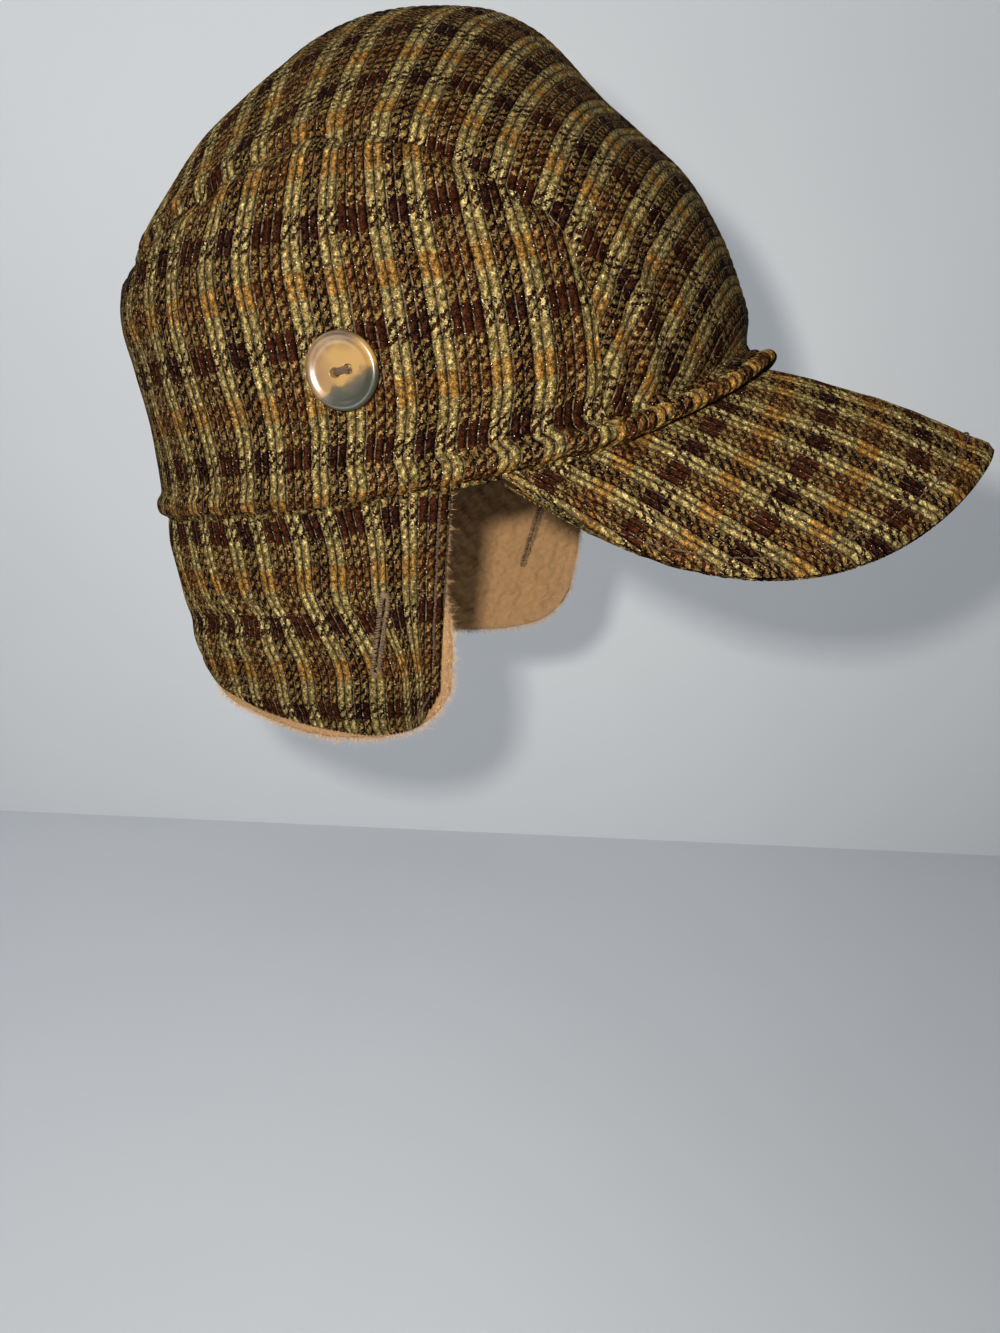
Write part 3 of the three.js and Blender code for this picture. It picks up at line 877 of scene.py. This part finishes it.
def cut_quads(quads, points, margin):
    """The faces that lie outside every buttonhole's slot, whose half width is margin."""
    centres = points.reshape(-1, 3)[quads].mean(1)
    kept = np.ones(len(quads), bool)
    for place, along, cross, out in slot_frames:
        x, y, z = (np.abs((centres - place) @ way) for way in (along, cross, out))
        kept &= (x >= buttonhole_length / 2) | (y >= margin) | (z >= 12)
    return quads[kept]


def flap_cloth():
    """The flap's corduroy, and for its stitches the distance to its border, its points and outward ways."""
    columns = int(round(flap_course()[1][-1] / flap_rib_pitch)) * rib_steps + 1
    rows = 60
    turn, down = flap_grid(0, columns, rows)
    side = from_front(turn)
    inner = np.clip((side - 76) / 14, 0, 1) * np.clip((180 - side) / 40, 0, 1)
    sway = sway_height * np.sin(down / sway_pitch + side / 23) * np.clip(down / 25, 0, 1) - sway_drift * down
    sway = np.where(turn > 180, -inner, inner) * sway
    base = flap_point(turn + sway, down)
    out = flap_out(turn + sway, down)
    border = np.vstack([base[:, 0], base[-1], base[:, -1]])
    distance, _ = nearest(base, border[::3])
    curl = rounded(distance, 2.4) * 1.5 + (1 - np.sqrt(np.clip(down / 3, 0, 1))) * 0.6
    stitch_dip = 0.4 * bump(distance, 5.2, 0.9)
    smooth_sheet = flap_soft(base, out, turn, down) - out * (curl + stitch_dip)[..., None]
    u = np.linspace(-0.5, 0.5, columns)[None] * (columns - 1) / rib_steps * np.ones((rows, 1))
    fine = rib_relief(smooth_sheet, out, u, seed=23)
    quads = cut_quads(grid_quads(rows, columns), base, buttonhole_width / 2)
    uv = cloth_uv(u, -column_lengths(base), base, out, flap_phase, flap_stretch)
    return new_mesh("flap_cloth", fine, quads, corduroy, uv), distance, base, out


def flap_fleece():
    """The lining as one closed pad with round edges: an outer and an inner face that meet at the border."""
    columns, rows = 420, 96
    turn, down = flap_grid(fleece_show, columns, rows)
    base = flap_point(turn, down)
    out = flap_out(turn, down)
    distance, _ = nearest(base, np.vstack([base[:, 0], base[-1], base[:, -1]]))
    half = fleece_wall / 2
    full = 1 - rounded(distance, half * 1.6)
    middle = flap_soft(base, out, turn, down) - out * (flap_shell_wall + seam_gap / 2 + half)
    lumps = 0.6 * waves(base, 6.5, 51) + 0.35 * waves(base, 2.8, 52)
    outer_swell = half * full + 0.5 * lumps * np.clip(1 - distance / 5, 0, 1)
    inner_swell = half * full + lumps * (0.4 + 0.6 * full)
    faces = [middle + out * outer_swell[..., None], middle - out * inner_swell[..., None]]
    quads = [cut_quads(grid_quads(rows, columns, flip=flip), base, buttonhole_width / 2 + 0.3)
             for flip in (False, True)]
    points = np.concatenate([face.reshape(-1, 3) for face in faces])
    quads = np.vstack([quads[0], quads[1] + rows * columns])
    return new_mesh("flap_fleece", points, quads, fleece), faces, distance, out


# Fibres and stitches

def fibres(name, roots, ways, lengths, width, material, seed):
    """Short tapered hairs: each is a bent strip of two faces."""
    rng = np.random.default_rng(seed)
    count = len(roots)
    ways = unit(ways + rng.normal(scale=0.55, size=(count, 3)))
    bend = rng.normal(scale=0.45, size=(count, 3))
    flat = unit(np.cross(ways, rng.normal(size=(count, 3)))) * width / 2
    lengths = lengths[:, None]
    middle = roots + ways * lengths * 0.55
    tip = roots + ways * lengths * 0.9 + bend * lengths * 0.5
    pairs = ((roots, 1.0), (middle, 0.7), (tip, 0.2))
    points = np.stack([spot + flat * side * share for spot, share in pairs for side in (-1, 1)], 1)
    first = np.arange(count)[:, None] * 6
    quads = np.vstack([first + np.array([[0, 1, 3, 2]]), first + np.array([[2, 3, 5, 4]])])
    return new_mesh(name, points, quads, material)


def stitches(name, starts, ends, outs, radius, material, rise):
    """Thread stitches: round strands that rise from their start, lie over the cloth and dip at their end."""
    count, sides, rings = len(starts), 8, 7
    t = np.linspace(0, 1, rings)
    arch = np.sqrt(np.maximum(1 - (2 * t - 1) ** 4, 0)) * rise * radius - radius * 0.9
    way = unit(ends - starts)
    cross = unit(np.cross(way, outs))
    centre = starts[:, None] + (ends - starts)[:, None] * t[:, None] + outs[:, None] * arch[:, None]
    angle = np.linspace(0, 2 * math.pi, sides, endpoint=False)
    thick = radius * (0.55 + 0.45 * np.sin(math.pi * t) ** 0.5)
    ring = (np.cos(angle)[:, None] * cross[:, None, None] + np.sin(angle)[:, None] * outs[:, None, None])
    points = centre[:, :, None] + ring * thick[None, :, None, None]
    quads = grid_quads(rings, sides, ring=True)
    every = (np.arange(count)[:, None, None] * rings * sides + quads[None]).reshape(-1, 4)
    return new_mesh(name, points.reshape(-1, 3), every, material)


def stitch_line(name, path, outs, pitch, fill, radius, material, rise):
    """A row of stitches of one pitch along a path, each as long as fill of the pitch."""
    length = lengths_along(path)
    begin = (np.arange(int(length[-1] / pitch)) + (1 - fill) / 2) * pitch

    def at(values, place):
        return np.stack([np.interp(place, length, values[:, k]) for k in range(3)], -1)

    ends = at(path, begin + fill * pitch)
    normals = unit(at(outs, begin + fill * pitch / 2))
    return stitches(name, at(path, begin), ends, normals, radius, material, rise)


# Button

def button(name, side, material):
    """A dished disc with two thread holes, its thread, and the threads of its shank."""
    turn, along = np.array([side * button_turn]), np.array([button_along])
    place = worn_crown(turn, along)[0]
    up = unit(worn_crown(turn, along + 0.01)[0] - place)
    out = crown_normal(turn, along)[0]
    up = unit(up - out * (up @ out))
    right = np.cross(up, out)
    place = place + out * seam_gap
    radius = button_diameter / 2
    low = button_thickness - button_dish
    # From the back's middle round the rim to the dish: shares of the radius, heights on a 3 mm disc
    profile = np.array([
        (0.0, 0.0), (0.55, 0.0), (0.8, 0.12), (0.93, 0.6), (0.985, 1.15), (1.0, 1.6), (0.995, 2.1),
        (0.975, 2.55), (0.94, 2.86), (0.9, 3.0), (0.86, 2.98), (0.81, 2.82), (0.76, 2.55), (0.72, 2.38),
        (0.66, 2.3),
    ]) * (1, button_thickness / 3)
    inner = np.linspace(0.63, 0.0, 90)
    shares = np.r_[profile[:, 0], inner]
    heights = np.r_[profile[:, 1], low - 0.12 * np.cos(inner / 0.66 * math.pi / 2)]
    sides = 160
    angle = np.linspace(0, 2 * math.pi, sides, endpoint=False)
    x = shares[:, None] * radius * np.cos(angle)[None]
    y = shares[:, None] * radius * np.sin(angle)[None]
    z = heights[:, None] * np.ones((1, sides))
    # The dish is pressed down into two thread holes
    face = (np.arange(len(shares)) >= len(profile))[:, None]
    for centre in (-button_hole_pitch / 2, button_hole_pitch / 2):
        away = np.hypot((x - centre) / 1.12, y)
        pressed = np.clip((button_hole / 2 + 0.3 - away) / 0.42, 0, 1)
        z = np.where(face, z - (low - 0.4) * pressed ** 1.5, z)
    points = place + x[..., None] * right + y[..., None] * up + z[..., None] * out
    uv = np.stack([x / radius, y / radius], -1)
    disc = new_mesh(name + "_horn", points, grid_quads(len(shares), sides, ring=True), material, uv)
    starts, ends = [], []
    for k in range(-2, 3):
        reach = button_hole_pitch / 2 + 0.35 - 0.12 * abs(k)
        strand = place + up * (k * 0.34) + out * (low + 0.15 - 0.12 * abs(k))
        starts.append(strand - right * reach)
        ends.append(strand + right * reach + up * 0.1)
    outs = np.array([out] * len(starts))
    thread = stitches(name + "_horn_thread", np.array(starts), np.array(ends), outs, 0.26, brown_thread, 1.6)
    feet = np.array([place + right * (1.9 * across) + up * (0.3 * k) - out * 1.2
                     for across in (-1, 1) for k in (-1, 0, 1)])
    ups = np.array([up] * len(feet))
    shank = stitches(name + "_horn_shank", feet, feet + out * (low - 0.3), ups, 0.3, brown_thread, 0.0)
    return disc, thread, shank


# Putting the pieces together

def dress(piece, slot, *nodes):
    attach(piece, "root")
    if nodes:
        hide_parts(*nodes)
    return piece


def hem_roll():
    """The hem's lower edge, where the cloth turns under: a round roll along the rim that the ribs cross."""
    course = np.linspace(0, 360, 1500)
    lengths = lengths_along(worn_crown(course, 0 * course))
    count = int(round(lengths[-1] / rib_pitch)) * rib_steps
    turn = np.interp(np.arange(count + 1) % count / count * lengths[-1], lengths, course)
    edge, out = worn_crown(turn, 0 * turn), crown_normal(turn, 0 * turn + 0.004)
    low = unit(out * out[:, 2:] - np.array([0, 0, 1.0]))
    centre = edge - out * (crown_wall / 2) + low * 0.7
    angle = np.linspace(0, 2 * math.pi, 13)
    u = np.arange(count + 1) / rib_steps
    wide = hem_radius + 0.3 * (ribs(u) - 0.6)
    ring = np.cos(angle)[:, None, None] * out[None] + np.sin(angle)[:, None, None] * low[None]
    points = centre[None] + ring * wide[None, :, None]
    uv = np.stack(np.broadcast_arrays(u[None] + 2, angle[:, None] * hem_radius + 12), -1)
    return new_mesh("hem_roll", points, grid_quads(*points.shape[:2]), corduroy, uv)


def front_hem():
    """The strip that binds the rim across the brow, tucked in above its widest line."""
    course = np.linspace(-seam_foot - 1, seam_foot + 1, 600)
    lengths = lengths_along(worn_crown(course, 0 * course))
    lengths -= lengths[-1] / 2
    count = int(2 * lengths[-1] / rib_pitch * rib_steps)
    across = np.linspace(lengths[0], lengths[-1], count)[None]
    rows = 22
    t = np.linspace(0, 1, rows)[:, None]
    turn, along = np.broadcast_arrays(np.interp(across, lengths, course), 0.1 * t)
    turn = np.where(turn < 0, turn + 360, turn)
    base, normal = worn_crown(turn, along), crown_normal(turn, np.maximum(along, 0.004))
    tuck = 0.45 - 1.9 * np.clip((t - 0.75) / 0.25, 0, 1) ** 2
    u = across / rib_pitch * np.ones((rows, 1)) + 2
    fine = rib_relief(base + normal * tuck[..., None], normal, u, seed=24)
    uv = cloth_uv(u, column_lengths(base) + 12, base, normal, (0.0, 0.0))
    return new_mesh("front_hem", fine, grid_quads(rows, count, flip=True), corduroy, uv)


dress(hem_roll(), "corduroy")
dress(front_hem(), "corduroy")
dress(band_cloth(), "corduroy", "crown_side_band")
dress(top_cloth(), "corduroy", "crown_top_panel")
dress(crown_inside(), "corduroy")
peak_upper, peak_under = peak_covers()
dress(peak_upper, "corduroy", "peak_upper_cover")
dress(peak_under, "corduroy", "peak_under_cover")
slot_frames = buttonhole_frames()
flap, flap_distance, flap_base, flap_outs = flap_cloth()
dress(flap, "corduroy", "ear_flap_shell")
lining, lining_faces, lining_distance, lining_out = flap_fleece()
dress(lining, "fleece", "ear_flap_fleece")
flap_width, flap_drops = flap_course()[1][-1] * MM, flap_grid(0, 200, 2)[1][-1] * MM
flap_width * flap_drops.mean()
for node_name, side in (("button_right", 1), ("button_left", -1)):
    disc, thread, shank = button(node_name, side, horn_material(node_name + "_mottled_and_painted_highlight", side))
    dress(disc, "horn_plastic", node_name)
    dress(thread, "corduroy")
    dress(shank, "corduroy")


def fleece_pile():
    """Fleece fibres, thickest along the border that shows."""
    rng = np.random.default_rng(61)
    inner, outer = lining_faces[1].reshape(-1, 3), lining_faces[0].reshape(-1, 3)
    outs = lining_out.reshape(-1, 3)
    distance = lining_distance.reshape(-1)
    rim_weight = np.exp(-distance / 2.2)
    weight = rim_weight + 0.03
    chosen = rng.choice(len(inner), pile_hairs, p=weight / weight.sum())
    use_outer = (rng.random(len(chosen)) < 0.45) & (distance[chosen] < 4.5)
    roots = np.where(use_outer[:, None], outer[chosen], inner[chosen])
    roots = roots + rng.normal(scale=0.35, size=roots.shape)
    ways = np.where(use_outer[:, None], outs[chosen], -outs[chosen]) * 0.7
    near_edge = np.exp(-distance[chosen] / 1.5)[:, None]
    ways = ways + near_edge * np.array([0, -0.5, -0.8])
    lengths = rng.uniform(0.8, 2.4, len(chosen)) * (0.75 + 0.5 * near_edge[:, 0])
    return fibres("fleece_pile", roots, ways, lengths, 0.11, fleece_fibre, 62)


dress(fleece_pile(), "fleece")


def flap_topstitch():
    """A line beside each front edge of the flap's cloth, from the rim down: points and outward ways."""
    half = flap_base.shape[1] // 2
    lines = []
    for side in (slice(0, half), slice(None, half - 1, -1)):
        part, gap, facing = (grid[2:, side] for grid in (flap_base, flap_distance, flap_outs))
        first = (gap > flap_stitch_inset).argmax(1)
        rows = np.nonzero(first)[0]
        lines.append((part[rows, first[rows]], facing[rows, first[rows]]))
    return lines


for index, (path, outs) in enumerate(flap_topstitch()):
    raised = path + outs * 0.35
    dress(stitch_line(f"flap_stitch_{index}", raised, outs, 1.15, 0.95, 0.42, brown_thread, 1.2), "corduroy")


def peak_topstitch(name, side):
    """A row of stitches along the peak's edge, on its upper or its under face."""
    share = np.linspace(-0.93, 0.93, 400)
    v = np.full_like(share, 1.25 * peak_stitch_inset / peak_length)
    points = peak_surface(share, v)
    normal = unit(np.cross(np.gradient(points, axis=0), peak_surface(share, v + 0.05) - points))
    if normal[len(share) // 2, 2] < 0:
        normal = -normal
    thickness = 2 * peak_cover_wall + seam_gap
    placed = points + normal * (0.28 if side > 0 else -thickness - 0.28)
    return stitch_line(name, placed, normal * side, 2.3, 0.85, 0.24, brown_thread, 1.4)


dress(peak_topstitch("peak_stitch_top", 1), "corduroy")
dress(peak_topstitch("peak_stitch_under", -1), "corduroy")


def buttonholes():
    """Purl stitches along both sides of each slot, on the cloth and on the fleece, with a bar at each end."""
    rng = np.random.default_rng(71)
    through = flap_shell_wall + seam_gap / 2 + fleece_wall
    strands = []
    for place, along, cross, out in slot_frames:
        for face, foot in ((out, place), (-out, place - out * (through + 0.2))):
            for k in range(int(buttonhole_length / purl_pitch) + 1):
                step = -buttonhole_length / 2 + k * purl_pitch
                for lane in (-1, 1):
                    shake = rng.normal(scale=0.16, size=3)
                    near = foot + along * (step + shake[0]) + cross * lane * 0.3
                    far = foot + along * (step + 0.8 + shake[1]) + cross * lane * (1.8 + shake[2])
                    strands.append((near + face * 0.5, far + face * 0.35, face))
            for end in (-1, 1):
                for k in range(4):
                    middle = foot + along * end * (buttonhole_length / 2 + 0.4 + 0.45 * k) + face * 0.5
                    half = cross * (1.7 - 0.2 * k)
                    strands.append((middle - half, middle + half + along * 0.15, face))
    starts, ends, outs = (np.array(column) for column in zip(*strands))
    return stitches("buttonhole_purl", starts, ends, outs, 0.27, mauve_thread, 2.0)


dress(buttonholes(), "corduroy")


# Camera: on the wearer's right and ahead of it, looking down and a little rolled
sensor_width, lens_length = 36.0, 28.09
picture_width, picture_height = 1000, 1333
origin_shown = (443.0, 476.0)  # the pixel of that frame at which the origin shows
eye_yaw, eye_pitch, eye_roll = math.radians(20), math.radians(21.1), math.radians(2.6)
eye_reach = 360.0  # measured level, from the origin


def camera():
    data = bpy.data.cameras.new("camera")
    data.sensor_width = sensor_width
    data.lens = lens_length
    data.clip_start = 0.01
    obj = bpy.data.objects.new("camera", data)
    bpy.context.scene.collection.objects.link(obj)
    ahead = np.array([math.cos(eye_yaw), math.sin(eye_yaw), 0])
    level = np.array([math.sin(eye_yaw), -math.cos(eye_yaw), 0])
    above = np.array([0, 0, 1.0])
    view = ahead * math.cos(eye_pitch) - above * math.sin(eye_pitch)
    upright = ahead * math.sin(eye_pitch) + above * math.cos(eye_pitch)
    right = level * math.cos(eye_roll) + upright * math.sin(eye_roll)
    up = upright * math.cos(eye_roll) - level * math.sin(eye_roll)
    focal = lens_length / sensor_width * picture_height
    across, down = origin_shown[0] - picture_width / 2, origin_shown[1] - picture_height / 2
    ray = view + right * across / focal - up * down / focal
    place = -ray * eye_reach / math.hypot(ray[0], ray[1])
    matrix = Matrix.Identity(4)
    for k, axis in enumerate((right, up, -view)):
        matrix[0][k], matrix[1][k], matrix[2][k] = axis
    matrix.translation = place * MM
    obj.matrix_world = matrix
    bpy.context.scene.camera = obj
    return place, right, up, view


eye, eye_right, eye_up, eye_view = camera()


# Stage: a pale wall behind the cap and a pale floor under it
floor_level, wall_distance = -443.0, 880.0
stage_side, wall_height, floor_depth = 3000.0, 2600.0, 3000.0


def slab(name, corner, one, other, color):
    corners = np.array([corner, corner + one, corner + one + other, corner + other])
    new_mesh(name, corners, [[0, 1, 2, 3]], flat_material(name, color))


def stage():
    flat = unit(eye_view * np.array([1, 1, 0]))
    side = np.array([flat[1], -flat[0], 0]) * stage_side
    foot = np.array([eye[0], eye[1], floor_level]) + flat * wall_distance
    slab("stage_wall", foot - side, 2 * side, np.array([0, 0, wall_height]), tone(208, 211, 214))
    slab("stage_floor", foot - side - flat * floor_depth, 2 * side, flat * floor_depth, tone(190, 193, 197))


stage()


# Light: a small bright source beside the camera, a broad soft one above it to the left, and a pale room
def lamp(name, place, target, size, power, color=(1, 1, 1)):
    data = bpy.data.lights.new(name, "AREA")
    data.size = size * MM
    data.energy = power
    data.color = color
    obj = bpy.data.objects.new(name, data)
    bpy.context.scene.collection.objects.link(obj)
    obj.location = Vector(place) * MM
    obj.rotation_euler = (Vector(target) - Vector(place)).to_track_quat("-Z", "Y").to_euler()


lamp("key", eye - eye_right * 30 + eye_up * 26 - eye_view * 10, (0, 0, 20), 15, 3.3, (1.0, 0.95, 0.87))
lamp("soft", eye - eye_right * 700 + eye_up * 900 - eye_view * 200, (0, 0, 20), 900, 4.6, (0.95, 0.98, 1.0))
lamp("behind", (-100, 900, 480), (0, 0, 20), 600, 2.0)
lamp("far", (330, -380, 760), (0, 0, 20), 500, 1.2)
lamp("low", eye - eye_right * 350 - eye_up * 420, (0, 0, -20), 500, 2.8, (1.0, 0.97, 0.93))
world = bpy.data.worlds.new("room")
world.use_nodes = True
world.node_tree.nodes["Background"].inputs["Color"].default_value = (0.8, 0.86, 0.95, 1)
world.node_tree.nodes["Background"].inputs["Strength"].default_value = 0.25
bpy.context.scene.world = world
bpy.context.scene.view_settings.view_transform = "Standard"
